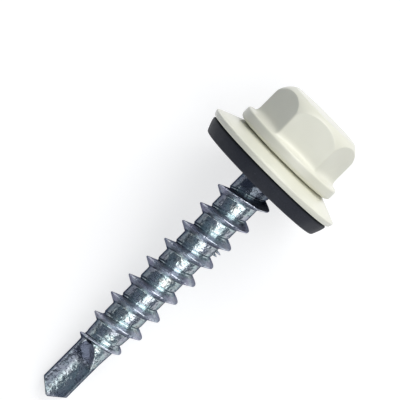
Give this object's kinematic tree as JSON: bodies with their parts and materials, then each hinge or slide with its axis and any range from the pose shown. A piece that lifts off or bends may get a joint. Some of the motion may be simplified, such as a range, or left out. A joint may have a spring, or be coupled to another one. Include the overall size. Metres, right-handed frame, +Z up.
{
  "type": "self drilling screw",
  "caption": "Hex flange head self drilling screw with a coarse thread, a short flat drill point and a captive dished washer with a bonded rubber seal, lying on its side.",
  "frame": {"origin": "on the shank's axis, in the plane of the seal's free face, which bears on the sheet when the screw is driven", "axes": "+Z up as it lies, +X towards the head with the shank leaning 13.5 degrees head up, +Y across"},
  "size_m": [0.0344, 0.0142, 0.0138],
  "materials": {
    "zinc_steel": "bright zinc plating, slightly mottled, blue tinge",
    "cream_paint": "glossy pale cream powder paint, also on the head and flange",
    "seal_rubber": "matt moulded rubber with a fine grain"
  },
  "bodies": {
    "screw": {"screw": "zinc_steel"},
    "washer": {"washer": "cream_paint", "seal": "seal_rubber"}
  },
  "joints": [
    {"name": "washer_spin", "type": "hinge", "parent": "screw", "child": "washer", "pos_m": [0, 0, 0], "axis": [0.9724, 0, 0.2332], "continuous": true}
  ]
}
